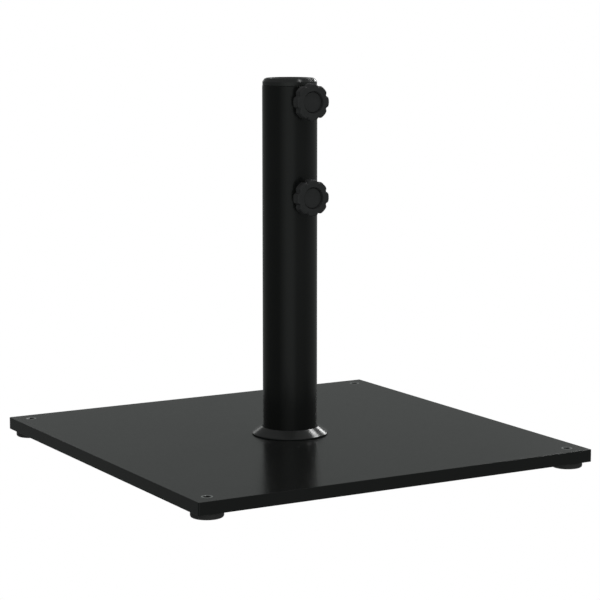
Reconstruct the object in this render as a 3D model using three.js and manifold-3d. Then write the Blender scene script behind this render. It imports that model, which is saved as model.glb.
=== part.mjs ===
// A free-standing parasol base: a heavy square steel plate on four levelling feet, with an
// upright tube that holds the parasol's pole and two clamp knobs that grip it.
// Millimetres. +Z is up, z = 0 is the floor, the tube stands on the Z axis and the knobs
// point towards -Y.

import * as THREE from 'three';
import { mergeVertices } from 'three/addons/utils/BufferGeometryUtils.js';
import Module from 'manifold-3d';

// Driving dimensions

const GAP = 0.3; // between pieces that touch
const THREAD_RADIUS = 3.75; // mean radius of an M8 thread
const TAPPED_RADIUS = THREAD_RADIUS + GAP;
const STUD_RADIUS = 2.75; // mean radius of an M6 thread
const STUD_HOLE_RADIUS = STUD_RADIUS + GAP;

const PLATE_SIDE = 450;
const PLATE_THICKNESS = 12.7;
const PLATE_CORNER_RADIUS = 1.5;
const PLATE_EDGE_RADIUS = 0.4;
const HOLE_INSET = 18; // from the plate's edge to a corner hole's axis
const HOLE_CHAMFER_RADIUS = 3.8;

const FOOT_HEIGHT = 6.3; // from the floor to the plate
const FOOT_RADIUS = 15.9;
const FOOT_BOTTOM_RADIUS = 13.6;
const FOOT_FLANGE_RADIUS = 5.5; // of the stud, captive in the glide
const STUD_BELOW_SURFACE = 3; // from the plate's top to the stud's top

const TUBE_RADIUS = 28.5;
const TUBE_WALL = 1.5;
const TUBE_TOP = 384.5;
const TUBE_BORE_RADIUS = TUBE_RADIUS - TUBE_WALL;

const FOOT_DISC_THICKNESS = 8;
const BOLT_CIRCLE_RADIUS = 15.5;
const BOLT_ANGLES = [90, 210, 330];
const BOLT_HEAD_RADIUS = 8;

const COLLAR_BOTTOM_RADIUS = 40;
const COLLAR_TOP_RADIUS = 30.2;
const COLLAR_HEIGHT = 8.3;
const COLLAR_WALL = 1.8;

const BUSH_FLANGE_RADIUS = 28.2;
const BUSH_SHOULDER = 388.5; // the flange tapers inwards from here up
const BUSH_RIM_RADIUS = 26.1;
const BUSH_RIM_TOP = 391.3;
const BUSH_SEAT = 388.6; // the ledge inside the rim, where the sleeve's flange sits
const BUSH_SKIRT_BOTTOM = 355;
const BUSH_BORE_RADIUS = 24.5; // takes a 48 mm pole
const SLEEVE_FLANGE_RADIUS = 25.1;
const SLEEVE_TOP = 392;
const SLEEVE_SKIRT_BOTTOM = 350;
const SLEEVE_BORE_RADIUS = 19.5; // takes a 38 mm pole
const SCREW_SLOT_WIDTH = 10;

const CLAMP_HEIGHTS = { upper: 369, lower: 271.5 };
// Distances outwards from the tube's axis, along a clamp screw
const PAD_FRONT = 22.5;
const PAD_BACK = 25.3;
const PAD_STEM_BACK = 28.3;
const NUT_OUTER = 32.5;
const HUB_FRONT = 36.5;
const GRIP_FRONT = 39.5;
const SCREW_BACK = 43;
const GRIP_BACK = 49;

const PAD_RADIUS = 3;
const PAD_STEM_RADIUS = 1.5;
const NUT_ACROSS_FLATS = 13;
const HUB_RADIUS = 8;
const GRIP_LOBES = 8;
const GRIP_LOBE_RADIUS = 19.1;
const GRIP_NOTCH_RADIUS = 17.1;
const GRIP_NOTCH_SHARPNESS = 5; // 1 gives even waves, more gives wide lobes and narrow notches
const GRIP_EDGE_RADIUS = 2;
const CAP_RADIUS = 10.3;
const CAP_TOP = 46.6; // set back from the grip's face
const CAP_BOTTOM = 45.3;
const CAP_RECESS_RADIUS = CAP_RADIUS + GAP;
const CAP_RECESS_MOUTH_RADIUS = 11.5;

const ROUND_SEGMENTS = 40;
const SMALL_SEGMENTS = 16;
const CAP_SEGMENTS = 24;

const PLATE_BOTTOM = FOOT_HEIGHT;
const PLATE_TOP = PLATE_BOTTOM + PLATE_THICKNESS;
const TUBE_BOTTOM = PLATE_TOP + GAP;
const HOLE_OFFSET = PLATE_SIDE / 2 - HOLE_INSET;

// Materials

const finish = (color, roughness, metalness) => (
  new THREE.MeshStandardMaterial({ color, roughness, metalness })
);
const POWDER_COAT = finish(0x3a3d3c, 0.5, 0.2);
const GLOSS_PLASTIC = finish(0x232426, 0.25, 0);
const MATT_PLASTIC = finish(0x26262a, 0.5, 0);
const RUBBER = finish(0x1c1c1d, 0.8, 0);
const ZINC = finish(0xa9adb0, 0.35, 1);
const NYLON = finish(0xd9d7cf, 0.6, 0);

// Solids and booleans

const wasm = await Module();
wasm.setup();

function toSolid(geometry) {
  const bare = geometry.clone();
  bare.deleteAttribute('normal');
  bare.deleteAttribute('uv');
  const merged = mergeVertices(bare);
  const corners = merged.index.array;
  const triVerts = [];
  for (let i = 0; i < corners.length; i += 3) {
    const [a, b, c] = corners.slice(i, i + 3);
    const isFlat = a === b || b === c || c === a;
    if (!isFlat) triVerts.push(a, b, c);
  }
  const vertProperties = new Float32Array(merged.attributes.position.array);
  const mesh = new wasm.Mesh({ numProp: 3, vertProperties, triVerts: new Uint32Array(triVerts) });
  return new wasm.Manifold(mesh);
}

function toGeometry(solid) {
  const { vertProperties, triVerts } = solid.getMesh();
  const geometry = new THREE.BufferGeometry();
  geometry.setAttribute('position', new THREE.BufferAttribute(vertProperties, 3));
  geometry.setIndex(new THREE.BufferAttribute(triVerts, 1));
  return geometry;
}

function cut(blank, cutters) {
  let solid = toSolid(blank);
  for (const cutter of cutters) solid = solid.subtract(toSolid(cutter));
  return toGeometry(solid);
}

function join(first, second) {
  return toGeometry(toSolid(first).add(toSolid(second)));
}

// Round, lobed and hexagonal forms, each about the local Z axis

// The profile is [radius, height] points, counter-clockwise seen with +r to the right and +z up.
// It starts and ends on the axis, or closes on itself.
function turned(profile, segments = ROUND_SEGMENTS) {
  const points = profile.map(([r, z]) => new THREE.Vector2(r, z));
  return new THREE.LatheGeometry(points, segments).rotateX(Math.PI / 2);
}

function cylinder(radius, bottom, top, segments = SMALL_SEGMENTS) {
  return turned([[0, bottom], [radius, bottom], [radius, top], [0, top]], segments);
}

// Points of an arc about (r, z), from one angle to another in degrees, ends included
function arc(r, z, radius, from, to, steps) {
  return Array.from({ length: steps + 1 }, (_, i) => {
    const angle = THREE.MathUtils.degToRad(from + ((to - from) * i) / steps);
    return [r + radius * Math.cos(angle), z + radius * Math.sin(angle)];
  });
}

function prism(outline, bottom, top) {
  const shape = new THREE.Shape(outline);
  return new THREE.ExtrudeGeometry(shape, { depth: top - bottom, bevelEnabled: false })
    .translate(0, 0, bottom);
}

function hexagon(acrossFlats, bottom, top) {
  const corner = acrossFlats / Math.sqrt(3);
  const outline = Array.from({ length: 6 }, (_, i) => (
    new THREE.Vector2(corner, 0).rotateAround(new THREE.Vector2(), (i * Math.PI) / 3)
  ));
  return prism(outline, bottom, top);
}

// Places

const root = new THREE.Group();

function place(name, geometry, material, position = [0, 0, 0], parent = root) {
  const mesh = new THREE.Mesh(geometry, material);
  mesh.name = name;
  mesh.position.set(...position);
  parent.add(mesh);
}

const boltPlaces = BOLT_ANGLES.map((degrees) => {
  const angle = THREE.MathUtils.degToRad(degrees);
  return [BOLT_CIRCLE_RADIUS * Math.cos(angle), BOLT_CIRCLE_RADIUS * Math.sin(angle), 0];
});

const footPlaces = {
  front_left: [-HOLE_OFFSET, -HOLE_OFFSET, 0],
  front_right: [HOLE_OFFSET, -HOLE_OFFSET, 0],
  back_left: [-HOLE_OFFSET, HOLE_OFFSET, 0],
  back_right: [HOLE_OFFSET, HOLE_OFFSET, 0],
};

// The plate and what holds the tube to it

const BOLT_HEAD_BOTTOM = PLATE_BOTTOM + 0.7;
const BOLT_HEAD_RIM = 0.6;
const BOLT_HEAD_CONE = BOLT_HEAD_RADIUS - THREAD_RADIUS;
const PAST = 1; // how far a cutter runs past what it cuts

function plateHoleCutter() {
  const chamfer = HOLE_CHAMFER_RADIUS - STUD_HOLE_RADIUS;
  return turned([
    [0, PLATE_BOTTOM - PAST],
    [STUD_HOLE_RADIUS, PLATE_BOTTOM - PAST],
    [STUD_HOLE_RADIUS, PLATE_TOP - chamfer],
    [HOLE_CHAMFER_RADIUS + PAST, PLATE_TOP + PAST],
    [0, PLATE_TOP + PAST],
  ], SMALL_SEGMENTS);
}

function boltHoleCutter() {
  const rim = BOLT_HEAD_RADIUS + GAP;
  const coneBottom = BOLT_HEAD_BOTTOM + BOLT_HEAD_RIM;
  return turned([
    [0, PLATE_BOTTOM - PAST],
    [rim, PLATE_BOTTOM - PAST],
    [rim, coneBottom],
    [TAPPED_RADIUS, coneBottom + rim - TAPPED_RADIUS],
    [TAPPED_RADIUS, PLATE_TOP + PAST],
    [0, PLATE_TOP + PAST],
  ], SMALL_SEGMENTS);
}

function basePlate() {
  const half = PLATE_SIDE / 2;
  const outline = new THREE.Shape();
  const straight = half - PLATE_CORNER_RADIUS;
  outline.absarc(straight, straight, PLATE_CORNER_RADIUS, 0, Math.PI / 2);
  outline.absarc(-straight, straight, PLATE_CORNER_RADIUS, Math.PI / 2, Math.PI);
  outline.absarc(-straight, -straight, PLATE_CORNER_RADIUS, Math.PI, Math.PI * 1.5);
  outline.absarc(straight, -straight, PLATE_CORNER_RADIUS, Math.PI * 1.5, Math.PI * 2);
  const slab = new THREE.ExtrudeGeometry(outline, {
    depth: PLATE_THICKNESS - 2 * PLATE_EDGE_RADIUS,
    bevelThickness: PLATE_EDGE_RADIUS,
    bevelSize: PLATE_EDGE_RADIUS,
    bevelOffset: -PLATE_EDGE_RADIUS,
    bevelSegments: 2,
    curveSegments: 4,
  }).translate(0, 0, PLATE_BOTTOM + PLATE_EDGE_RADIUS);
  const cornerHoles = Object.values(footPlaces).map((at) => plateHoleCutter().translate(...at));
  const boltHoles = boltPlaces.map((at) => boltHoleCutter().translate(...at));
  return cut(slab, [...cornerHoles, ...boltHoles]);
}

const FOOT_DISC_TOP = TUBE_BOTTOM + FOOT_DISC_THICKNESS;

function tubeFootDisc() {
  const disc = cylinder(TUBE_BORE_RADIUS - GAP, TUBE_BOTTOM, FOOT_DISC_TOP, ROUND_SEGMENTS);
  const hole = () => cylinder(TAPPED_RADIUS, TUBE_BOTTOM - PAST, FOOT_DISC_TOP + PAST);
  return cut(disc, boltPlaces.map((at) => hole().translate(...at)));
}

function plateBolt() {
  const socketDepth = 3;
  const socketAcrossFlats = 5;
  const coneBottom = BOLT_HEAD_BOTTOM + BOLT_HEAD_RIM;
  const bolt = turned([
    [0, BOLT_HEAD_BOTTOM],
    [BOLT_HEAD_RADIUS, BOLT_HEAD_BOTTOM],
    [BOLT_HEAD_RADIUS, coneBottom],
    [THREAD_RADIUS, coneBottom + BOLT_HEAD_CONE],
    [THREAD_RADIUS, FOOT_DISC_TOP - 1.8],
    [THREAD_RADIUS - 0.8, FOOT_DISC_TOP - 1],
    [0, FOOT_DISC_TOP - 1],
  ], SMALL_SEGMENTS);
  const socket = hexagon(socketAcrossFlats, BOLT_HEAD_BOTTOM - PAST, BOLT_HEAD_BOTTOM + socketDepth);
  return cut(bolt, [socket]);
}

place('base_plate', basePlate(), POWDER_COAT);
place('tube_foot_disc', tubeFootDisc(), ZINC);
boltPlaces.forEach((at, i) => place(`plate_bolt_${i + 1}`, plateBolt(), ZINC, at));

// The tube, with a clearance hole for each clamp screw

// A group whose +Z points along a clamp screw, outwards from the tube's axis
function clampGroup(height) {
  const group = new THREE.Group();
  group.position.z = height;
  group.rotation.x = Math.PI / 2;
  return group;
}

function tubeGeometry() {
  const wall = turned([
    [TUBE_BORE_RADIUS, TUBE_BOTTOM],
    [TUBE_RADIUS, TUBE_BOTTOM],
    [TUBE_RADIUS, TUBE_TOP],
    [TUBE_BORE_RADIUS, TUBE_TOP],
    [TUBE_BORE_RADIUS, TUBE_BOTTOM],
  ]);
  const clearance = THREAD_RADIUS + 0.8;
  const holes = Object.values(CLAMP_HEIGHTS).map((height) => (
    cylinder(clearance, PAD_FRONT, NUT_OUTER)
      .rotateX(Math.PI / 2)
      .translate(0, 0, height)
  ));
  return cut(wall, holes);
}

place('tube', tubeGeometry(), POWDER_COAT);

// The rosette that covers the joint between tube and plate

function collar() {
  const bore = TUBE_RADIUS + GAP;
  const bottom = TUBE_BOTTOM;
  const top = PLATE_TOP + COLLAR_HEIGHT;
  const lip = 0.6;
  return turned([
    [COLLAR_BOTTOM_RADIUS - 2 * COLLAR_WALL, bottom],
    [COLLAR_BOTTOM_RADIUS, bottom],
    ...arc(COLLAR_BOTTOM_RADIUS - lip, bottom + lip, lip, 0, 45, 2),
    ...arc(COLLAR_TOP_RADIUS - lip, top - lip, lip, 45, 90, 2),
    [bore, top],
    [bore, top - COLLAR_WALL],
    [COLLAR_BOTTOM_RADIUS - 2 * COLLAR_WALL, bottom],
  ]);
}

place('collar', collar(), GLOSS_PLASTIC);

// The bush in the tube's mouth and the reducer sleeve in the bush. Each has a slot, open at the
// bottom, for the upper clamp screw.

function slotCutters(skirtBottom) {
  const reach = TUBE_RADIUS + PAST;
  const height = CLAMP_HEIGHTS.upper;
  const bottom = skirtBottom - PAST;
  const below = new THREE.BoxGeometry(SCREW_SLOT_WIDTH, reach, height - bottom)
    .translate(0, -reach / 2, (height + bottom) / 2);
  const end = cylinder(SCREW_SLOT_WIDTH / 2, 0, reach)
    .rotateX(Math.PI / 2)
    .translate(0, 0, height);
  return [below, end];
}

function topBush() {
  const rimBore = SLEEVE_FLANGE_RADIUS + GAP;
  const bush = turned([
    [BUSH_BORE_RADIUS, BUSH_SKIRT_BOTTOM],
    [TUBE_BORE_RADIUS - GAP, BUSH_SKIRT_BOTTOM],
    [TUBE_BORE_RADIUS - GAP, TUBE_TOP + GAP],
    [BUSH_FLANGE_RADIUS, TUBE_TOP + GAP],
    [BUSH_FLANGE_RADIUS, BUSH_SHOULDER],
    [BUSH_RIM_RADIUS, BUSH_RIM_TOP],
    [rimBore, BUSH_RIM_TOP],
    [rimBore, BUSH_SEAT],
    [BUSH_BORE_RADIUS, BUSH_SEAT],
    [BUSH_BORE_RADIUS, BUSH_SKIRT_BOTTOM],
  ]);
  return cut(bush, slotCutters(BUSH_SKIRT_BOTTOM));
}

function reducerSleeve() {
  const flangeBottom = BUSH_SEAT + GAP;
  const shoulder = 1;
  const mouth = 1;
  const sleeve = turned([
    [SLEEVE_BORE_RADIUS, SLEEVE_SKIRT_BOTTOM],
    [BUSH_BORE_RADIUS - GAP, SLEEVE_SKIRT_BOTTOM],
    [BUSH_BORE_RADIUS - GAP, flangeBottom],
    [SLEEVE_FLANGE_RADIUS, flangeBottom],
    ...arc(SLEEVE_FLANGE_RADIUS - shoulder, SLEEVE_TOP - shoulder, shoulder, 0, 90, 4),
    [SLEEVE_BORE_RADIUS + mouth, SLEEVE_TOP],
    [SLEEVE_BORE_RADIUS, SLEEVE_TOP - mouth],
    [SLEEVE_BORE_RADIUS, SLEEVE_SKIRT_BOTTOM],
  ]);
  return cut(sleeve, slotCutters(SLEEVE_SKIRT_BOTTOM));
}

place('top_bush', topBush(), GLOSS_PLASTIC);
place('reducer_sleeve', reducerSleeve(), GLOSS_PLASTIC);

// The clamps. Each is made about its screw's axis, with +Z outwards from the tube.

function lobedOutline() {
  const steps = GRIP_LOBES * 10;
  const depth = GRIP_LOBE_RADIUS - GRIP_NOTCH_RADIUS;
  const points = Array.from({ length: steps }, (_, i) => {
    const angle = (2 * Math.PI * i) / steps;
    const wave = (1 - Math.cos(GRIP_LOBES * angle)) / 2;
    const r = GRIP_LOBE_RADIUS - depth * wave ** GRIP_NOTCH_SHARPNESS;
    return new THREE.Vector2(r * Math.cos(angle), r * Math.sin(angle));
  });
  return new THREE.Shape(points);
}

function knobGrip() {
  const body = new THREE.ExtrudeGeometry(lobedOutline(), {
    depth: GRIP_BACK - GRIP_FRONT - 2 * GRIP_EDGE_RADIUS,
    bevelThickness: GRIP_EDGE_RADIUS,
    bevelSize: GRIP_EDGE_RADIUS,
    bevelOffset: -GRIP_EDGE_RADIUS,
    bevelSegments: 2,
  }).translate(0, 0, GRIP_FRONT + GRIP_EDGE_RADIUS);
  const hub = cylinder(HUB_RADIUS, HUB_FRONT, GRIP_FRONT + PAST);
  const bore = cylinder(TAPPED_RADIUS, HUB_FRONT - PAST, SCREW_BACK + GAP);
  const floor = CAP_BOTTOM - GAP;
  const recess = turned([
    [0, floor],
    [CAP_RECESS_RADIUS, floor],
    [CAP_RECESS_RADIUS, CAP_TOP],
    [CAP_RECESS_MOUTH_RADIUS, GRIP_BACK],
    [CAP_RECESS_MOUTH_RADIUS, GRIP_BACK + PAST],
    [0, GRIP_BACK + PAST],
  ], CAP_SEGMENTS);
  return cut(join(body, hub), [bore, recess]);
}

function knobCap() {
  const edge = 0.4;
  return turned([
    [0, CAP_BOTTOM],
    [CAP_RADIUS, CAP_BOTTOM],
    [CAP_RADIUS, CAP_TOP - edge],
    [CAP_RADIUS - edge, CAP_TOP],
    [0, CAP_TOP],
  ], CAP_SEGMENTS);
}

function clampScrew() {
  const boreBack = PAD_STEM_BACK + GAP;
  const boreRadius = PAD_STEM_RADIUS + GAP;
  const tip = PAD_BACK + GAP;
  const chamfer = 0.8;
  return turned([
    [0, boreBack],
    [boreRadius, boreBack],
    [boreRadius, tip],
    [THREAD_RADIUS - chamfer, tip],
    [THREAD_RADIUS, tip + chamfer],
    [THREAD_RADIUS, SCREW_BACK],
    [0, SCREW_BACK],
  ], SMALL_SEGMENTS);
}

function thrustPad() {
  const edge = 0.4;
  return turned([
    [0, PAD_FRONT],
    [PAD_RADIUS - edge, PAD_FRONT],
    [PAD_RADIUS, PAD_FRONT + edge],
    [PAD_RADIUS, PAD_BACK],
    [PAD_STEM_RADIUS, PAD_BACK],
    [PAD_STEM_RADIUS, PAD_STEM_BACK],
    [0, PAD_STEM_BACK],
  ], SMALL_SEGMENTS);
}

function weldNut() {
  const blank = hexagon(NUT_ACROSS_FLATS, TUBE_BORE_RADIUS, NUT_OUTER);
  const bore = cylinder(TAPPED_RADIUS, TUBE_BORE_RADIUS - PAST, NUT_OUTER + PAST);
  const saddle = cylinder(TUBE_RADIUS + GAP, -NUT_ACROSS_FLATS, NUT_ACROSS_FLATS, ROUND_SEGMENTS)
    .rotateX(Math.PI / 2);
  return cut(blank, [bore, saddle]);
}

for (const [level, height] of Object.entries(CLAMP_HEIGHTS)) {
  const group = clampGroup(height);
  const origin = [0, 0, 0];
  place(`knob_grip_${level}`, knobGrip(), MATT_PLASTIC, origin, group);
  place(`knob_cap_${level}`, knobCap(), MATT_PLASTIC, origin, group);
  place(`clamp_screw_${level}`, clampScrew(), ZINC, origin, group);
  place(`thrust_pad_${level}`, thrustPad(), NYLON, origin, group);
  place(`weld_nut_${level}`, weldNut(), POWDER_COAT, origin, group);
  root.add(group);
}

// The levelling feet. The stud's flange is captive in the glide's socket, and its thread runs in
// the plate's corner hole, where a key turns it from above.

const FLANGE_BOTTOM = 2.3;
const FLANGE_TOP = 4.1;
const GLIDE_TOP = PLATE_BOTTOM - GAP;
const GLIDE_SEGMENTS = 24;

function footGlide() {
  const toe = FOOT_RADIUS - FOOT_BOTTOM_RADIUS;
  const edge = 0.5;
  const socketRadius = FOOT_FLANGE_RADIUS + GAP;
  return turned([
    [0, 0],
    ...arc(FOOT_BOTTOM_RADIUS, toe, toe, -90, 0, 4),
    [FOOT_RADIUS, GLIDE_TOP - edge],
    [FOOT_RADIUS - edge, GLIDE_TOP],
    [STUD_HOLE_RADIUS, GLIDE_TOP],
    [STUD_HOLE_RADIUS, FLANGE_TOP + GAP],
    [socketRadius, FLANGE_TOP + GAP],
    [socketRadius, FLANGE_BOTTOM - GAP],
    [0, FLANGE_BOTTOM - GAP],
  ], GLIDE_SEGMENTS);
}

function footStud() {
  const top = PLATE_TOP - STUD_BELOW_SURFACE;
  const chamfer = 0.6;
  const socketDepth = 3;
  const socketAcrossFlats = 3;
  const stud = turned([
    [0, FLANGE_BOTTOM],
    [FOOT_FLANGE_RADIUS, FLANGE_BOTTOM],
    [FOOT_FLANGE_RADIUS, FLANGE_TOP],
    [STUD_RADIUS, FLANGE_TOP],
    [STUD_RADIUS, top - chamfer],
    [STUD_RADIUS - chamfer, top],
    [0, top],
  ], SMALL_SEGMENTS);
  return cut(stud, [hexagon(socketAcrossFlats, top - socketDepth, top + PAST)]);
}

for (const [corner, at] of Object.entries(footPlaces)) {
  place(`foot_glide_${corner}`, footGlide(), RUBBER, at);
  place(`foot_stud_${corner}`, footStud(), ZINC, at);
}

export default root;
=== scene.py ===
"""A free-standing parasol base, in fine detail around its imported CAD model. Metres, +Z up."""
import math

import bmesh
import bpy
from mathutils import Matrix, Vector

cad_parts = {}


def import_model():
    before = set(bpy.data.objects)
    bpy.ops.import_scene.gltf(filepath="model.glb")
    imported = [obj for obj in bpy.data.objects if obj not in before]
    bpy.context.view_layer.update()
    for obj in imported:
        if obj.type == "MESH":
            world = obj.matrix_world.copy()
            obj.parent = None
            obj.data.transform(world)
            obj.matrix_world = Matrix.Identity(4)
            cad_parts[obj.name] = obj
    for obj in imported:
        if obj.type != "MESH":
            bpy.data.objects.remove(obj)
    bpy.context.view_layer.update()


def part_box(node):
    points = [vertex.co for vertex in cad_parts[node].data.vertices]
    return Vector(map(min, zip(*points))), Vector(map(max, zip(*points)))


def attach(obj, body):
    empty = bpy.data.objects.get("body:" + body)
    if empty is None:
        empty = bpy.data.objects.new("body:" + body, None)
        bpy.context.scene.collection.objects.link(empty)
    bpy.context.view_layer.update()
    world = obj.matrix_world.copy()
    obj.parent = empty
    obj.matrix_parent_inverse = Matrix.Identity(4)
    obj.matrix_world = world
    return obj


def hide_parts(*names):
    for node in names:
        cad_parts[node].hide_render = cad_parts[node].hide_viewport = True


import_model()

MM = 0.001
ROUND = 128  # points round a large piece
SMALL = 48  # points round a small one
FILLET_STEP = math.radians(12)  # each facet of a rounded edge turns by this
SHARP = math.radians(35)  # an edge that turns by more looks sharp

GAP = 0.3 * MM  # between neighbouring pieces
PAST = 1 * MM  # how far a cutting tool passes the face that it starts from
M8 = 3.95 * MM, 3.35 * MM, 1.25 * MM  # a thread's major radius, minor radius and pitch
M6 = 2.95 * MM, 2.45 * MM, 1 * MM
M8_HOLE = 4.05 * MM  # the radius of a hole for an M8 screw
M6_HOLE = 3.05 * MM
BOLT_RIM = 0.6 * MM  # the height of the straight rim of a countersunk head


# ---- Sizes from the frame ----

def span(node, axis):
    """The lowest and highest coordinate of a CAD node along X, Y or Z."""
    low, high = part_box(node)
    return low["XYZ".index(axis)], high["XYZ".index(axis)]


def outwards(node):
    """How far a clamp piece's inner and outer ends are from the tube's axis."""
    low, high = span(node, "Y")
    return -high, -low


def middle(node):
    low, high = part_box(node)
    return [(a + b) / 2 for a, b in zip(low, high)]


PLATE_BOTTOM, PLATE_TOP = span("base_plate", "Z")
PLATE_HALF = span("base_plate", "X")[1]
TUBE_RADIUS = span("tube", "X")[1]
TUBE_BOTTOM, TUBE_TOP = span("tube", "Z")
TUBE_WALL = 1.5 * MM
TUBE_BORE = TUBE_RADIUS - TUBE_WALL
SLEEVE_SEAT = TUBE_TOP + 4.1 * MM  # the ledge in the bush that the sleeve's flange sits on
GLINT_RIM_RADII = 4.2 * MM, 5.6 * MM  # the radii of a light metallic ring round a corner hole, a painted highlight for the glints on its chamfer
CORNERS = ("front_left", "front_right", "back_left", "back_right")
LEVELS = ("upper", "lower")
BOLTS = (1, 2, 3)


# ---- Shapes ----

def rounded(corners, closed=False):
    """Points (r, z) of an outline. A corner (r, z, radius) is rounded by an arc of that radius."""
    points = []
    for i, corner in enumerate(corners):
        here = Vector(corner[:2])
        if len(corner) == 2:
            points.append(here)
            continue
        before = (Vector(corners[i - 1][:2]) - here).normalized()
        after = (Vector(corners[(i + 1) % len(corners)][:2]) - here).normalized()
        half = before.angle(after) / 2
        centre = here + (before + after).normalized() * corner[2] / math.sin(half)
        start = here + before * corner[2] / math.tan(half) - centre
        turn = math.pi - 2 * half
        if before.x * after.y - before.y * after.x > 0:
            turn = -turn
        steps = max(2, math.ceil(abs(turn) / FILLET_STEP))
        for k in range(steps + 1):
            points.append(centre + Matrix.Rotation(turn * k / steps, 2) @ start)
    return [tuple(point) for point in points]


def skinned(name, rings, closed=False):
    """A solid through rings of points. A ring of one point is a tip; a wide end ring is capped."""
    shape = bmesh.new()
    loops = [[shape.verts.new(point) for point in ring] for ring in rings]
    following = loops[1:] + loops[:1] if closed else loops[1:]
    for lower, upper in zip(loops, following):
        count = max(len(lower), len(upper))
        for i in range(count):
            j = i + 1
            corners = (
                lower[i % len(lower)],
                lower[j % len(lower)],
                upper[j % len(upper)],
                upper[i % len(upper)],
            )
            shape.faces.new(dict.fromkeys(corners))
    if not closed:
        for loop in (loops[0], loops[-1]):
            if len(loop) > 1:
                shape.faces.new(loop)
    bmesh.ops.recalc_face_normals(shape, faces=shape.faces)
    mesh = bpy.data.meshes.new(name)
    shape.to_mesh(mesh)
    shape.free()
    piece = bpy.data.objects.new(name, mesh)
    bpy.context.scene.collection.objects.link(piece)
    return piece


def turned(name, stack, segments=SMALL, closed=False):
    """A piece about local Z through rings (radius, height): numbers, or functions of the angle."""
    rings = []
    for radius, height in stack:
        if radius == 0:
            rings.append([(0, 0, height)])
            continue
        ring = []
        for i in range(segments):
            angle = 2 * math.pi * i / segments
            r = radius(angle) if callable(radius) else radius
            z = height(angle) if callable(height) else height
            ring.append((r * math.cos(angle), r * math.sin(angle), z))
        rings.append(ring)
    return skinned(name, rings, closed)


def placed(piece, place):
    """Moves the piece's own mesh, so that the object stays at the origin."""
    piece.data.transform(place)
    if place.determinant() < 0:
        piece.data.flip_normals()
    return piece


def combined(piece, tools, operation="DIFFERENCE"):
    """The piece after a boolean with each tool, and the tools are gone."""
    for tool in tools:
        modifier = piece.modifiers.new("boolean", "BOOLEAN")
        modifier.operation = operation
        modifier.object = tool
        modifier.solver = "EXACT"
    graph = bpy.context.evaluated_depsgraph_get()
    mesh = bpy.data.meshes.new_from_object(piece.evaluated_get(graph))
    piece.modifiers.clear()
    piece.data = mesh
    for tool in tools:
        bpy.data.objects.remove(tool)
    return piece


def hexagon(across_flats):
    """The radius of a hexagon at each angle, with corners on the local X axis."""
    sixth = math.pi / 3
    return lambda angle: across_flats / 2 / math.cos(angle % sixth - sixth / 2)


def thread(major, minor, pitch, height):
    """The radius at each angle of a right-hand thread, at one height."""
    def radius(angle):
        phase = (height / pitch - angle / (2 * math.pi)) % 1
        ridge = 1.3 * (1 - abs(2 * phase - 1)) - 0.15
        return minor + (major - minor) * min(max(ridge, 0), 1)
    return radius


def threaded(major, minor, pitch, bottom, top):
    """The rings of a thread from bottom to top, which starts and ends at its minor radius."""
    steps = math.ceil((top - bottom) / pitch * 10)
    stack = []
    for i in range(steps + 1):
        height = bottom + (top - bottom) * i / steps
        run_out = min(1, (height - bottom) / (0.6 * pitch), (top - height) / (0.6 * pitch))
        stack.append((thread(minor + (major - minor) * run_out, minor, pitch, height), height))
    return stack


# ---- Materials ----

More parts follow.
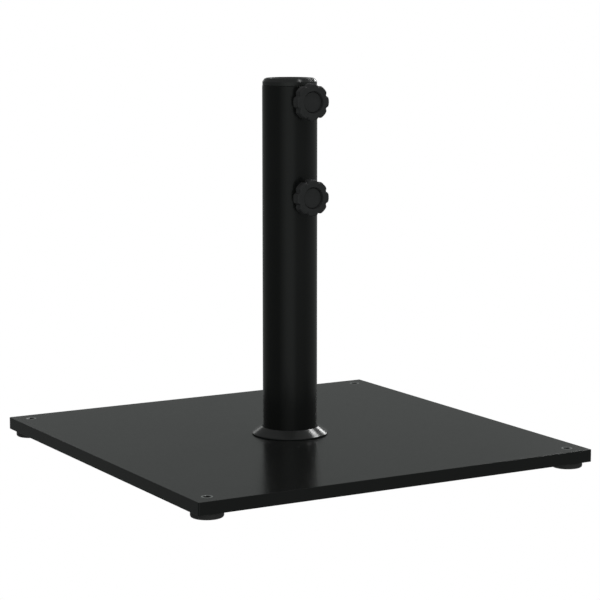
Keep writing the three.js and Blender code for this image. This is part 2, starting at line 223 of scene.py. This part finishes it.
class Finish:
    """A material whose shader reads procedural noise in object coordinates."""

    def __init__(self, name, **sockets):
        self.material = bpy.data.materials.new(name)
        self.material.use_nodes = True
        self.nodes = self.material.node_tree.nodes
        self.links = self.material.node_tree.links
        self.shader = self.nodes["Principled BSDF"]
        self.place = self.nodes.new("ShaderNodeTexCoord").outputs["Object"]
        for socket, value in sockets.items():
            self.shader.inputs[socket.replace("_", " ")].default_value = value

    def noise(self, grain, detail=2.0, stretch=(1, 1, 1)):
        """Noise from 0 to 1 with features about grain metres across."""
        mapping = self.nodes.new("ShaderNodeMapping")
        mapping.inputs["Scale"].default_value = stretch
        self.links.new(self.place, mapping.inputs["Vector"])
        texture = self.nodes.new("ShaderNodeTexNoise")
        texture.inputs["Scale"].default_value = 1 / grain
        texture.inputs["Detail"].default_value = detail
        self.links.new(mapping.outputs["Vector"], texture.inputs["Vector"])
        return texture.outputs["Fac"]

    def ranged(self, value, low, high, start=0.3, end=0.7):
        node = self.nodes.new("ShaderNodeMapRange")
        node.inputs["From Min"].default_value = start
        node.inputs["From Max"].default_value = end
        node.inputs["To Min"].default_value = low
        node.inputs["To Max"].default_value = high
        self.links.new(value, node.inputs["Value"])
        return node.outputs["Result"]

    def roughness(self, value, low, high):
        self.links.new(self.ranged(value, low, high), self.shader.inputs["Roughness"])

    def colours(self, value, first, second):
        mix = self.nodes.new("ShaderNodeMix")
        mix.data_type = "RGBA"
        mix.inputs["A"].default_value = (*first, 1)
        mix.inputs["B"].default_value = (*second, 1)
        self.links.new(self.ranged(value, 0, 1), mix.inputs["Factor"])
        self.links.new(mix.outputs["Result"], self.shader.inputs["Base Color"])

    def vector(self, operation, *values):
        node = self.nodes.new("ShaderNodeVectorMath")
        node.operation = operation
        for socket, value in zip(node.inputs, values):
            if hasattr(value, "links"):
                self.links.new(value, socket)
            else:
                socket.default_value = value
        return node.outputs["Value" if operation == "DISTANCE" else "Vector"]

    def round_corner_holes(self, inner, outer):
        """1 on the plate's top between two radii from a corner hole's axis, and 0 elsewhere: the mask
        of the painted highlight round the holes.
        """
        x, y, _ = middle("foot_stud_back_right")
        flatten = 20  # so that the ring doesn't reach down into the hole
        blur = 0.05 * MM
        mirrored = self.vector("ABSOLUTE", self.place)
        stretched = self.vector("MULTIPLY", mirrored, (1, 1, flatten))
        distance = self.vector("DISTANCE", stretched, (x, y, PLATE_TOP * flatten))
        ring = self.nodes.new("ShaderNodeMath")
        ring.operation = "MINIMUM"
        self.links.new(self.ranged(distance, 0, 1, inner - blur, inner + blur), ring.inputs[0])
        self.links.new(self.ranged(distance, 1, 0, outer - blur, outer + blur), ring.inputs[1])
        return ring.outputs["Value"]

    def painted_sheen(self, value, colour):
        """Paints a light metallic colour where the value is 1, a painted highlight."""
        mix = self.nodes.new("ShaderNodeMix")
        mix.data_type = "RGBA"
        mix.inputs["B"].default_value = (*colour, 1)
        self.links.new(value, mix.inputs["Factor"])
        self.links.new(self.shader.inputs["Base Color"].links[0].from_socket, mix.inputs["A"])
        self.links.new(mix.outputs["Result"], self.shader.inputs["Base Color"])
        self.links.new(value, self.shader.inputs["Metallic"])

    def bump(self, *layers):
        """Each layer is (noise, height in metres)."""
        normal = None
        for value, height in layers:
            node = self.nodes.new("ShaderNodeBump")
            node.inputs["Distance"].default_value = height
            self.links.new(value, node.inputs["Height"])
            if normal:
                self.links.new(normal, node.inputs["Normal"])
            normal = node.outputs["Normal"]
        self.links.new(normal, self.shader.inputs["Normal"])


def powder_coat(name="powder_coat", painted_glint_rims=False):
    """The coat on the steel, with or without a painted highlight round the plate's corner holes: a
    light metallic ring in place of the glints on the holes' chamfers.
    """
    finish = Finish(name, Specular_IOR_Level=0.5, IOR=1.5)
    finish.colours(finish.noise(40 * MM), (0.0245, 0.0260, 0.0252), (0.0270, 0.0286, 0.0278))
    finish.roughness(finish.noise(4 * MM, 3), 0.19, 0.23)
    finish.bump((finish.noise(2.2 * MM), 0.006 * MM), (finish.noise(0.5 * MM), 0.003 * MM))
    # painted highlight: a light metallic ring round each corner hole stands in for the glints on the
    # holes' chamfers
    if painted_glint_rims:
        finish.painted_sheen(finish.round_corner_holes(*GLINT_RIM_RADII), (0.66, 0.67, 0.67))
    return finish.material


def gloss_plastic():
    finish = Finish("gloss_plastic", Specular_IOR_Level=0.5, IOR=1.5)
    finish.colours(finish.noise(20 * MM), (0.068, 0.071, 0.070), (0.076, 0.079, 0.078))
    finish.roughness(finish.noise(6 * MM, 3), 0.17, 0.22)
    finish.bump((finish.noise(4 * MM), 0.01 * MM))
    return finish.material


def knob_plastic():
    finish = Finish("knob_plastic", Specular_IOR_Level=0.5, IOR=1.5)
    finish.colours(finish.noise(8 * MM), (0.080, 0.081, 0.083), (0.090, 0.091, 0.093))
    finish.roughness(finish.noise(3 * MM, 3), 0.38, 0.46)
    finish.bump((finish.noise(0.35 * MM), 0.01 * MM))
    return finish.material


def foot_rubber():
    finish = Finish("foot_rubber", Specular_IOR_Level=0.5, IOR=1.5)
    finish.colours(finish.noise(5 * MM), (0.090, 0.087, 0.088), (0.102, 0.099, 0.100))
    finish.roughness(finish.noise(2 * MM, 3), 0.55, 0.68)
    finish.bump((finish.noise(0.5 * MM), 0.02 * MM))
    return finish.material


def zinc_steel():
    finish = Finish("zinc_steel", Metallic=1.0)
    finish.colours(finish.noise(3 * MM, 3), (0.52, 0.53, 0.54), (0.62, 0.63, 0.63))
    finish.roughness(finish.noise(1.5 * MM, 3), 0.24, 0.38)
    finish.bump((finish.noise(0.3 * MM), 0.004 * MM))
    return finish.material


def nylon():
    finish = Finish("nylon", Subsurface_Weight=0.1, IOR=1.5)
    finish.colours(finish.noise(2 * MM), (0.68, 0.66, 0.6), (0.74, 0.72, 0.66))
    finish.roughness(finish.noise(1 * MM, 3), 0.4, 0.5)
    finish.bump((finish.noise(0.4 * MM), 0.005 * MM))
    return finish.material


POWDER_COAT = powder_coat()
# the plate's coat carries the painted highlight round its corner holes
PLATE_COAT = powder_coat("plate_coat", painted_glint_rims=True)
GLOSS_PLASTIC = gloss_plastic()
KNOB_PLASTIC = knob_plastic()
FOOT_RUBBER = foot_rubber()
ZINC_STEEL = zinc_steel()
NYLON = nylon()


def delivered(piece, material, body, node):
    """Shades the piece and hands it to its body, in place of its CAD node."""
    piece.data.shade_smooth()
    piece.data.set_sharp_from_angle(angle=SHARP)
    weighted = piece.modifiers.new("flat faces stay flat", "WEIGHTED_NORMAL")
    weighted.keep_sharp = True
    weighted.weight = 100
    piece.data.materials.clear()
    piece.data.materials.append(material)
    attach(piece, body)
    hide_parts(node)


# ---- The plate and what holds the tube to it ----

def base_plate():
    """A square plate with round edges, four corner holes and three countersunk from beneath."""
    corner_radius = 1.5 * MM
    edge = 0.4 * MM
    corner_steps = 8
    edge_steps = 5
    straight = PLATE_HALF - corner_radius

    def outline(inset, height):
        points = []
        for quarter in range(4):
            towards = math.pi / 2 * (quarter + 0.5)
            centre_x = math.copysign(straight, math.cos(towards))
            centre_y = math.copysign(straight, math.sin(towards))
            for i in range(corner_steps + 1):
                angle = math.pi / 2 * (quarter + i / corner_steps)
                x = centre_x + (corner_radius - inset) * math.cos(angle)
                y = centre_y + (corner_radius - inset) * math.sin(angle)
                points.append((x, y, height))
        return points

    lower, upper = [], []
    for i in range(edge_steps + 1):
        angle = math.pi / 2 * i / edge_steps
        across, along = edge * (1 - math.sin(angle)), edge * (1 - math.cos(angle))
        lower.append(outline(across, PLATE_BOTTOM + along))
        upper.append(outline(across, PLATE_TOP - along))
    plate = skinned("base_plate_steel", lower + upper[::-1])

    cutters = []
    mouth = 3.8 * MM
    for corner in CORNERS:
        x, y, _ = middle(f"foot_stud_{corner}")
        stack = [
            (0, PLATE_BOTTOM - PAST),
            (M6_HOLE, PLATE_BOTTOM - PAST),
            (M6_HOLE, PLATE_TOP - (mouth - M6_HOLE)),
            (mouth, PLATE_TOP),
            (mouth, PLATE_TOP + PAST),
            (0, PLATE_TOP + PAST),
        ]
        cutters.append(placed(turned("hole", stack), Matrix.Translation((x, y, 0))))
    for i in BOLTS:
        x, y, _ = middle(f"plate_bolt_{i}")
        head = (span(f"plate_bolt_{i}", "X")[1] - x) + GAP
        seat = span(f"plate_bolt_{i}", "Z")[0] + BOLT_RIM
        stack = [
            (0, PLATE_BOTTOM - PAST),
            (head, PLATE_BOTTOM - PAST),
            (head, seat),
            (M8_HOLE, seat + head - M8_HOLE),
            (M8_HOLE, PLATE_TOP + PAST),
            (0, PLATE_TOP + PAST),
        ]
        cutters.append(placed(turned("hole", stack), Matrix.Translation((x, y, 0))))
    return combined(plate, cutters)


def tube_foot_disc():
    """The disc in the foot of the tube, with a hole for each bolt."""
    low, high = span("tube_foot_disc", "Z")
    radius = span("tube_foot_disc", "X")[1]
    bevel = 0.8 * MM
    stack = [
        (0, low),
        (radius - bevel, low),
        (radius, low + bevel),
        (radius, high - bevel),
        (radius - bevel, high),
        (0, high),
    ]
    disc = turned("tube_foot_disc_steel", stack, ROUND)
    cutters = []
    chamfer = 0.5 * MM
    for i in BOLTS:
        x, y, _ = middle(f"plate_bolt_{i}")
        drill = turned("drill", [
            (0, low - PAST),
            (M8_HOLE, low - PAST),
            (M8_HOLE, high - chamfer),
            (M8_HOLE + chamfer + PAST, high + PAST),
            (0, high + PAST),
        ])
        cutters.append(placed(drill, Matrix.Translation((x, y, 0))))
    return combined(disc, cutters)


def plate_bolt(i):
    """A countersunk bolt with a hexagon socket, screwed up from beneath."""
    low, high = span(f"plate_bolt_{i}", "Z")
    x, y, _ = middle(f"plate_bolt_{i}")
    head = span(f"plate_bolt_{i}", "X")[1] - x
    major, minor, pitch = M8
    socket, socket_depth = hexagon(5 * MM), 3 * MM
    mouth = 3.15 * MM
    neck = low + BOLT_RIM + head - minor
    chamfer = 0.8 * MM
    countersunk = rounded([
        (mouth, low),
        (head, low, 0.3 * MM),
        (head, low + BOLT_RIM, 0.2 * MM),
        (minor, neck),
    ])
    stack = [
        (0, low + 3.4 * MM),
        (socket, low + socket_depth),
        (socket, low + 0.25 * MM),
        *countersunk[:-1],
        *threaded(major, minor, pitch, neck, high - chamfer),
        (minor - chamfer, high),
        (0, high),
    ]
    return placed(turned(f"plate_bolt_{i}_steel", stack), Matrix.Translation((x, y, 0)))


# ---- The tube, the collar round its foot and the plastic in its mouth ----

def along_minus_y(height):
    """Lays a shape about local Z along a clamp screw's axis, with +Z outwards from the tube."""
    return Matrix.Translation((0, 0, height)) @ Matrix.Rotation(math.pi / 2, 4, "X")


def tube():
    """The upright tube, with a hole for each clamp screw."""
    edge, screw_hole, reach = 0.5 * MM, 4.55 * MM, 5 * MM
    stack = rounded([
        (TUBE_BORE, TUBE_BOTTOM, edge),
        (TUBE_RADIUS, TUBE_BOTTOM, edge),
        (TUBE_RADIUS, TUBE_TOP, edge),
        (TUBE_BORE, TUBE_TOP, edge),
    ], closed=True)
    shell = turned("tube_steel", stack, ROUND, closed=True)
    drills = []
    for level in LEVELS:
        height = middle(f"clamp_screw_{level}")[2]
        start, end = TUBE_BORE - reach, TUBE_RADIUS + reach
        drill = turned("drill", [(0, start), (screw_hole, start), (screw_hole, end), (0, end)])
        drills.append(placed(drill, along_minus_y(height)))
    return combined(shell, drills)


def collar():
    """A conical rosette, hollow beneath."""
    low, high = span("collar", "Z")
    wide = span("collar", "X")[1]
    bore = TUBE_RADIUS + 0.25 * MM
    crown = 30.2 * MM  # the cone's radius at its top
    lip = 1.1 * MM
    wall = 1.8 * MM
    stack = rounded([
        (wide - 2 * wall, low),
        (wide, low, 0.25 * MM),
        (wide, low + lip, 0.5 * MM),
        (crown, high, 0.5 * MM),
        (bore, high, 0.3 * MM),
        (bore, high - wall),
    ], closed=True)
    return turned("collar_plastic", stack, ROUND, closed=True)


def screw_slot(skirt_bottom):
    """The tools that cut the slot, open at the bottom, for the upper clamp screw."""
    height = middle("clamp_screw_upper")[2]
    half = 5 * MM
    near, far = 5 * MM, TUBE_RADIUS + 1 * MM
    below = skirt_bottom - PAST
    outline = [(half, below), (half, height)]
    steps = 16
    for i in range(1, steps):
        angle = math.pi * i / steps
        outline.append((half * math.cos(angle), height + half * math.sin(angle)))
    outline += [(-half, height), (-half, below)]
    rings = [[(x, y, z) for x, z in outline] for y in (-far, -near)]
    return [skinned("slot", rings)]


def top_bush():
    low, high = span("top_bush", "Z")
    flange = span("top_bush", "X")[1]
    skirt = TUBE_BORE - GAP
    bore = 24.5 * MM
    seat = TUBE_TOP + GAP
    shoulder = TUBE_TOP + 4 * MM
    rim = flange - 2.1 * MM
    rim_bore = span("reducer_sleeve", "X")[1] + GAP
    stack = rounded([
        (bore, low, 0.3 * MM),
        (skirt, low, 0.5 * MM),
        (skirt, seat),
        (flange, seat, 0.3 * MM),
        (flange, shoulder, 1.5 * MM),
        (rim, high, 0.3 * MM),
        (rim_bore, high, 0.2 * MM),
        (rim_bore, SLEEVE_SEAT),
        (bore, SLEEVE_SEAT, 0.3 * MM),
    ], closed=True)
    return combined(turned("top_bush_plastic", stack, ROUND, closed=True), screw_slot(low))


def reducer_sleeve():
    low, high = span("reducer_sleeve", "Z")
    flange = span("reducer_sleeve", "X")[1]
    skirt = 24.2 * MM
    bore = 19.5 * MM
    seat = SLEEVE_SEAT + GAP
    stack = rounded([
        (bore, low, 0.5 * MM),
        (skirt, low, 0.8 * MM),
        (skirt, seat),
        (flange, seat, 0.2 * MM),
        (flange, high, 0.8 * MM),
        (bore, high, 0.9 * MM),
    ], closed=True)
    return combined(turned("reducer_sleeve_plastic", stack, ROUND, closed=True), screw_slot(low))


# ---- The clamps, each about its screw's axis with +Z outwards ----

def weld_nut(level):
    """A hexagon nut, saddled on the tube, with the bead of its weld."""
    _, outer = outwards(f"weld_nut_{level}")
    height = middle(f"clamp_screw_{level}")[2]
    across = 13 * MM
    flats = hexagon(across)
    face = 6.3 * MM  # the radius where the chamfer of the corners starts
    slope = 0.577
    lift = 0.25 * MM  # above the tube
    chamfer = 0.5 * MM
    bead_radius, bead_lift, bead_offset = 1.1 * MM, 0.35 * MM, 0.3 * MM
    ripples, ripple_height = 26, 0.09
    flatness = 0.75

    def on_tube(radius, lift):
        def z(angle):
            r = radius(angle) if callable(radius) else radius
            return math.sqrt((TUBE_RADIUS + lift) ** 2 - (r * math.cos(angle)) ** 2)
        return z

    def chamfered(angle):
        return outer - 0.15 * MM - max(0, flats(angle) - face) * slope

    stack = [
        (M8_HOLE, on_tube(M8_HOLE, lift)),
        (flats, on_tube(flats, lift)),
        (flats, chamfered),
        (face - 0.2 * MM, outer),
        (M8_HOLE + chamfer, outer),
        (M8_HOLE, outer - chamfer),
    ]
    nut = turned(f"weld_nut_{level}_steel", stack, 96, closed=True)
    beads = []
    steps = 12
    for i in range(steps):
        turn = 2 * math.pi * i / steps

        def radius(angle, turn=turn):
            ripple = 1 + ripple_height * math.cos(ripples * angle)
            return (flats(angle) + across / 2) / 2 + bead_offset + bead_radius * ripple * math.cos(turn)

        def z(angle, turn=turn, radius=radius):
            return on_tube(radius, bead_lift)(angle) + flatness * bead_radius * math.sin(turn)

        beads.append((radius, z))
    bead = turned("bead", beads, 144, closed=True)
    return placed(combined(nut, [bead], "UNION"), along_minus_y(height))


def clamp_screw(level):
    tip, back = outwards(f"clamp_screw_{level}")
    height = middle(f"clamp_screw_{level}")[2]
    major, minor, pitch = M8
    bore, bore_depth = 1.8 * MM, 3 * MM
    chamfer = 0.5 * MM
    plain_end = 0.3 * MM
    stack = [
        (0, tip + bore_depth),
        (bore, tip + bore_depth),
        (bore, tip),
        (minor - chamfer, tip),
        *threaded(major, minor, pitch, tip + chamfer, back - plain_end),
        (minor, back),
        (0, back),
    ]
    return placed(turned(f"clamp_screw_{level}_steel", stack), along_minus_y(height))


def thrust_pad(level):
    front, stem_end = outwards(f"thrust_pad_{level}")
    height = middle(f"clamp_screw_{level}")[2]
    radius = span(f"thrust_pad_{level}", "X")[1]
    stem = 1.5 * MM
    back = front + 2.8 * MM
    stack = rounded([
        (0, front),
        (radius, front, 0.5 * MM),
        (radius, back, 0.2 * MM),
        (stem, back),
        (stem, stem_end, 0.3 * MM),
        (0, stem_end),
    ])
    return placed(turned(f"thrust_pad_{level}_nylon", stack), along_minus_y(height))


def lobed(inset):
    """The grip's outline at each angle: wide lobes with narrow notches between them."""
    lobes, notch_depth, sharpness = 8, 2 * MM, 5
    outer = span("knob_grip_upper", "X")[1]

    def radius(angle):
        wave = (1 - math.cos(lobes * angle)) / 2
        return outer - inset - notch_depth * wave ** sharpness
    return radius


def knob_grip(level):
    hub_front, back = outwards(f"knob_grip_{level}")
    cap_bottom, cap_top = outwards(f"knob_cap_{level}")
    height = middle(f"clamp_screw_{level}")[2]
    front = hub_front + 3 * MM
    hub = 8 * MM
    screw_back = outwards(f"clamp_screw_{level}")[1] + GAP
    inner_round, face_round = 1.5 * MM, 2.8 * MM
    steps = 8
    inner_flat, face_flat = 12 * MM, 14 * MM  # each flat ring is round out to here
    recess_floor = cap_bottom - GAP
    recess = 10.6 * MM
    mouth = 11.5 * MM
    inside = rounded([
        (0, screw_back),
        (M8_HOLE, screw_back),
        (M8_HOLE, hub_front, 0.4 * MM),
        (hub, hub_front, 0.5 * MM),
        (hub, front, 0.7 * MM),
        (inner_flat, front),
    ])
    inner_edge, face_edge = [], []
    for i in range(steps + 1):
        angle = math.pi / 2 * i / steps
        across, along = 1 - math.sin(angle), 1 - math.cos(angle)
        inner_edge.append((lobed(inner_round * across), front + inner_round * along))
        face_edge.append((lobed(face_round * across), back - face_round * along))
    face = rounded([
        (face_flat, back),
        (mouth, back, 0.35 * MM),
        (recess, cap_top, 0.3 * MM),
        (recess, recess_floor),
        (0, recess_floor),
    ])
    stack = [*inside, *inner_edge, *face_edge[::-1], *face]
    return placed(turned(f"knob_grip_{level}_plastic", stack, 192), along_minus_y(height))


def knob_cap(level):
    bottom, top = outwards(f"knob_cap_{level}")
    height = middle(f"clamp_screw_{level}")[2]
    radius = span(f"knob_cap_{level}", "X")[1]
    crown = 0.1 * MM
    stack = rounded([
        (0, bottom),
        (radius, bottom, 0.2 * MM),
        (radius, top - crown, 0.4 * MM),
        (radius * 0.6, top),
        (0, top),
    ])
    return placed(turned(f"knob_cap_{level}_plastic", stack, 96), along_minus_y(height))


# ---- The levelling feet ----

def foot_glide(corner):
    x, y, _ = middle(f"foot_glide_{corner}")
    low, high = span(f"foot_glide_{corner}", "Z")
    radius = span(f"foot_glide_{corner}", "X")[1] - x
    socket = 5.8 * MM
    flange_low, flange_high = 2 * MM, 4.4 * MM
    stack = rounded([
        (0, low),
        (radius, low, 2 * MM),
        (radius, high, 0.9 * MM),
        (M6_HOLE, high, 0.3 * MM),
        (M6_HOLE, low + flange_high),
        (socket, low + flange_high),
        (socket, low + flange_low),
        (0, low + flange_low),
    ])
    return placed(turned(f"foot_glide_{corner}_rubber", stack, 96), Matrix.Translation((x, y, 0)))


def foot_stud(corner):
    x, y, _ = middle(f"foot_stud_{corner}")
    low, high = span(f"foot_stud_{corner}", "Z")
    flange = span(f"foot_stud_{corner}", "X")[1] - x
    flange_top = low + 1.8 * MM
    major, minor, pitch = M6
    socket, socket_depth = hexagon(3 * MM), 3 * MM
    mouth = 1.95 * MM
    round_flange = rounded([
        (0, low),
        (flange, low, 0.3 * MM),
        (flange, flange_top, 0.3 * MM),
        (minor, flange_top),
    ])
    stack = [
        *round_flange,
        *threaded(major, minor, pitch, flange_top + 0.2 * MM, high - 0.5 * MM),
        (minor - 0.3 * MM, high),
        (mouth, high),
        (socket, high - 0.25 * MM),
        (socket, high - socket_depth),
        (0, high - 3.3 * MM),
    ]
    return placed(turned(f"foot_stud_{corner}_steel", stack), Matrix.Translation((x, y, 0)))


# ---- The assembly ----

delivered(base_plate(), PLATE_COAT, "base", "base_plate")
delivered(tube_foot_disc(), ZINC_STEEL, "base", "tube_foot_disc")
for number in BOLTS:
    delivered(plate_bolt(number), ZINC_STEEL, "base", f"plate_bolt_{number}")
delivered(tube(), POWDER_COAT, "base", "tube")
delivered(collar(), GLOSS_PLASTIC, "base", "collar")
delivered(top_bush(), GLOSS_PLASTIC, "base", "top_bush")
delivered(reducer_sleeve(), GLOSS_PLASTIC, "sleeve", "reducer_sleeve")
for level in LEVELS:
    delivered(weld_nut(level), POWDER_COAT, "base", f"weld_nut_{level}")
    delivered(clamp_screw(level), ZINC_STEEL, f"knob_{level}", f"clamp_screw_{level}")
    delivered(thrust_pad(level), NYLON, f"pad_{level}", f"thrust_pad_{level}")
    delivered(knob_grip(level), KNOB_PLASTIC, f"knob_{level}", f"knob_grip_{level}")
    delivered(knob_cap(level), KNOB_PLASTIC, f"knob_{level}", f"knob_cap_{level}")
for corner in CORNERS:
    delivered(foot_glide(corner), FOOT_RUBBER, f"glide_{corner}", f"foot_glide_{corner}")
    delivered(foot_stud(corner), ZINC_STEEL, f"stud_{corner}", f"foot_stud_{corner}")


# ---- The floor, the light and the camera ----

WHITE = (1, 1, 1, 1)
TINT = (0.95, 1, 0.975)  # the horizon's shares of red, green and blue
OVERHEAD = 0.15
HORIZON = (  # azimuth in degrees and brightness
    (-180, 0.2),
    (-165, 0.15),
    (-150, 0.115),
    (-130, 0.08),
    (-75, 0.06),
    (-55, 0.2),
    (-40, 0.3),
    (-18, 0.3),
    (0, 0.14),
    (40, 0.12),
    (70, 0.16),
    (110, 0.18),
    (140, 0.21),
    (165, 0.21),
    (180, 0.2),
)


LIGHT_DISTANCE = 2.2
LIGHT_AIM = Vector((0, 0, 0.2))

LENS = 127.07
SENSOR = 36
EYE = (-1.0895, -1.9014, 0.4847)
YAW = math.radians(30.09)  # to the right of +Y
PITCH = math.radians(8.412)  # below the horizon


def floor():
    """A white floor for the camera alone. The light that a floor would give comes from the world."""
    mesh = bpy.data.meshes.new("floor")
    half = 30
    below = 0.05 * MM
    corners = [(-half, -half, 0), (half, -half, 0), (half, half, 0), (-half, half, 0)]
    mesh.from_pydata(corners, [], [(0, 1, 2, 3)])
    plane = bpy.data.objects.new("floor", mesh)
    plane.location.z = -below
    plane.visible_diffuse = False
    plane.visible_glossy = False
    plane.visible_transmission = False
    plane.visible_shadow = False
    bpy.context.scene.collection.objects.link(plane)
    material = bpy.data.materials.new("floor_white")
    material.use_nodes = True
    nodes, links = material.node_tree.nodes, material.node_tree.links
    nodes.remove(nodes["Principled BSDF"])
    glow = nodes.new("ShaderNodeEmission")
    clear = nodes.new("ShaderNodeBsdfTransparent")
    side = nodes.new("ShaderNodeNewGeometry")
    mix = nodes.new("ShaderNodeMixShader")
    links.new(side.outputs["Backfacing"], mix.inputs["Fac"])
    links.new(glow.outputs[0], mix.inputs[1])
    links.new(clear.outputs[0], mix.inputs[2])
    links.new(mix.outputs[0], nodes["Material Output"].inputs["Surface"])
    mesh.materials.append(material)


def softbox(name, azimuth, elevation, side, radiance):
    """A square light, unseen by the camera. Azimuth 0 is in front, towards -Y, and 90 towards +X."""
    a, e = math.radians(azimuth), math.radians(elevation)
    flat = LIGHT_DISTANCE * math.cos(e)
    offset = Vector((flat * math.sin(a), -flat * math.cos(a), LIGHT_DISTANCE * math.sin(e)))
    light = bpy.data.lights.new(name, "AREA")
    light.shape = "SQUARE"
    light.size = side
    light.energy = radiance * math.pi * side ** 2
    lamp = bpy.data.objects.new(name, light)
    lamp.location = offset + LIGHT_AIM
    lamp.rotation_euler = (LIGHT_AIM - lamp.location).to_track_quat("-Z", "Y").to_euler()
    lamp.visible_camera = False
    bpy.context.scene.collection.objects.link(lamp)


def world():
    """A grey room: one brightness overhead, and one for each direction round the horizon and below.

    The camera sees plain white in its place.
    """
    room = bpy.data.worlds.new("room")
    bpy.context.scene.world = room
    room.use_nodes = True
    nodes, links = room.node_tree.nodes, room.node_tree.links

    def new(kind, inputs=(), **settings):
        node = nodes.new("ShaderNode" + kind)
        for setting, value in settings.items():
            setattr(node, setting, value)
        for socket, value in inputs:
            if hasattr(value, "links"):
                links.new(value, node.inputs[socket])
            else:
                node.inputs[socket].default_value = value
        return node

    place = new("TexCoord").outputs["Generated"]
    axes = new("SeparateXYZ", [("Vector", place)])
    forwards = new("Math", [(0, axes.outputs["Y"]), (1, -1)], operation="MULTIPLY")
    azimuth = new("Math", [(0, axes.outputs["X"]), (1, forwards.outputs[0])], operation="ARCTAN2")
    whole_turn = [("From Min", -math.pi), ("From Max", math.pi)]
    turn = new("MapRange", [("Value", azimuth.outputs[0]), *whole_turn])
    horizon = new("ValToRGB", [("Fac", turn.outputs["Result"])])
    stops = horizon.color_ramp.elements
    while len(stops) < len(HORIZON):
        stops.new(0.5)
    for stop, (degrees, grey) in zip(stops, HORIZON):
        stop.position = (degrees + 180) / 360
        stop.color = (*(share * grey for share in TINT), 1)
    height = new("MapRange", [("Value", axes.outputs["Z"]), ("From Min", 0.3), ("From Max", 0.7)])
    height.interpolation_type = "SMOOTHSTEP"
    sky = [("Factor", height.outputs["Result"]), ("A", horizon.outputs["Color"])]
    colour = new("Mix", sky, data_type="RGBA")
    colour.inputs["B"].default_value = (OVERHEAD, OVERHEAD, OVERHEAD, 1)
    links.new(colour.outputs["Result"], nodes["Background"].inputs["Color"])
    white = new("Background", [("Color", WHITE)])
    seen = new("LightPath")
    mix = new("MixShader", [("Fac", seen.outputs["Is Camera Ray"])])
    links.new(nodes["Background"].outputs[0], mix.inputs[1])
    links.new(white.outputs[0], mix.inputs[2])
    links.new(mix.outputs[0], nodes["World Output"].inputs["Surface"])


def camera():
    lens = bpy.data.cameras.new("camera")
    lens.lens = LENS
    lens.sensor_width = SENSOR
    eye = bpy.data.objects.new("camera", lens)
    eye.location = EYE
    eye.rotation_euler = (math.pi / 2 - PITCH, 0, -YAW)
    bpy.context.scene.collection.objects.link(eye)
    bpy.context.scene.camera = eye


floor()
world()
softbox("right_light", azimuth=106, elevation=42, side=0.35, radiance=11)
softbox("back_light", azimuth=126, elevation=17, side=0.3, radiance=8)
softbox("left_light", azimuth=171, elevation=12, side=0.3, radiance=1)
softbox("high_light", azimuth=45, elevation=64, side=0.2, radiance=10)
camera()
bpy.context.scene.view_settings.view_transform = "Standard"
